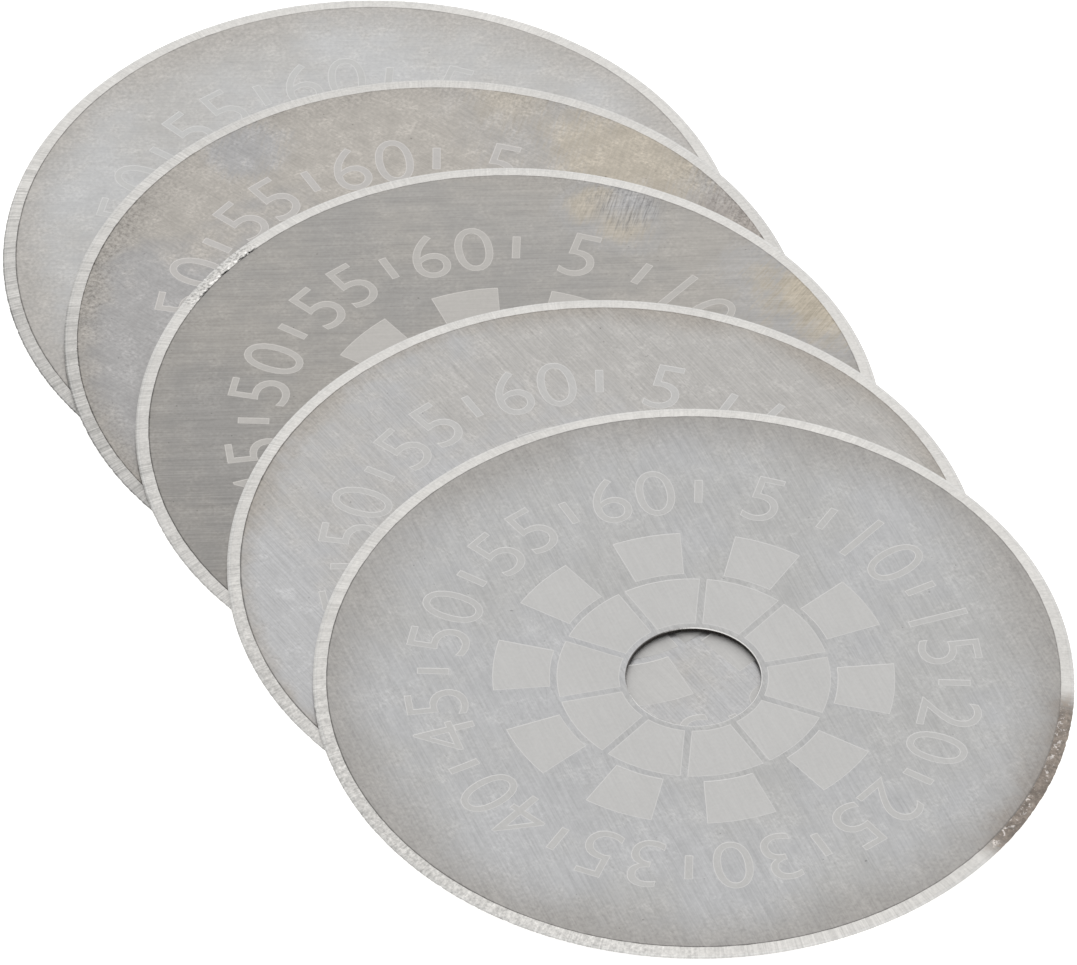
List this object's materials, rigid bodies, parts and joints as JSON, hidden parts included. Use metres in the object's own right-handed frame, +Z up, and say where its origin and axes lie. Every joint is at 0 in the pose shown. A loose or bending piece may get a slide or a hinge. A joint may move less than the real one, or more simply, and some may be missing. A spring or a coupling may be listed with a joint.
{
  "type": "rotary cutter blades",
  "caption": "Fan of loose round steel blades with a plain centre bore and an edge ground from both faces, which fit the hub of a rotary fabric cutter.",
  "frame": {"origin": "on the bottom blade's bore axis, at its underside, so the row stands on z = 0", "axes": "+Z up along the bores; the fan runs towards -Y, so +Y points from the top blade to the bottom one; +X across the fan"},
  "size_m": [0.0454, 0.0869, 0.0017],
  "materials": {
    "bottom_blade_steel": "fine brushed, cool grey, with a bright ground edge",
    "second_blade_steel": "brushed, cloudy with tempering tints, with a bright ground edge",
    "third_blade_steel": "darker brushed, warm grey, with a bright ground edge",
    "fourth_blade_steel": "fine brushed, cool grey, with a bright ground edge",
    "top_blade_steel": "fine brushed, light grey, with a bright ground edge"
  },
  "bodies": {
    "bottom_blade": {"bottom_blade": "bottom_blade_steel"},
    "second_blade": {"second_blade": "second_blade_steel"},
    "third_blade": {"third_blade": "third_blade_steel"},
    "fourth_blade": {"fourth_blade": "fourth_blade_steel"},
    "top_blade": {"top_blade": "top_blade_steel"}
  },
  "joints": [
    {"name": "second_blade_slide", "type": "slide", "parent": "bottom_blade", "child": "second_blade", "axis": [0, -1, 0], "range_m": [-0.0085, 0.0375]},
    {"name": "third_blade_slide", "type": "slide", "parent": "second_blade", "child": "third_blade", "axis": [0.0258, -0.9997, 0], "range_m": [-0.00929, 0.03671]},
    {"name": "fourth_blade_slide", "type": "slide", "parent": "third_blade", "child": "fourth_blade", "axis": [-0.0319, -0.9995, 0], "range_m": [-0.01317, 0.03283]},
    {"name": "top_blade_slide", "type": "slide", "parent": "fourth_blade", "child": "top_blade", "axis": [0.0164, -0.9999, 0], "range_m": [-0.01097, 0.03503]}
  ]
}
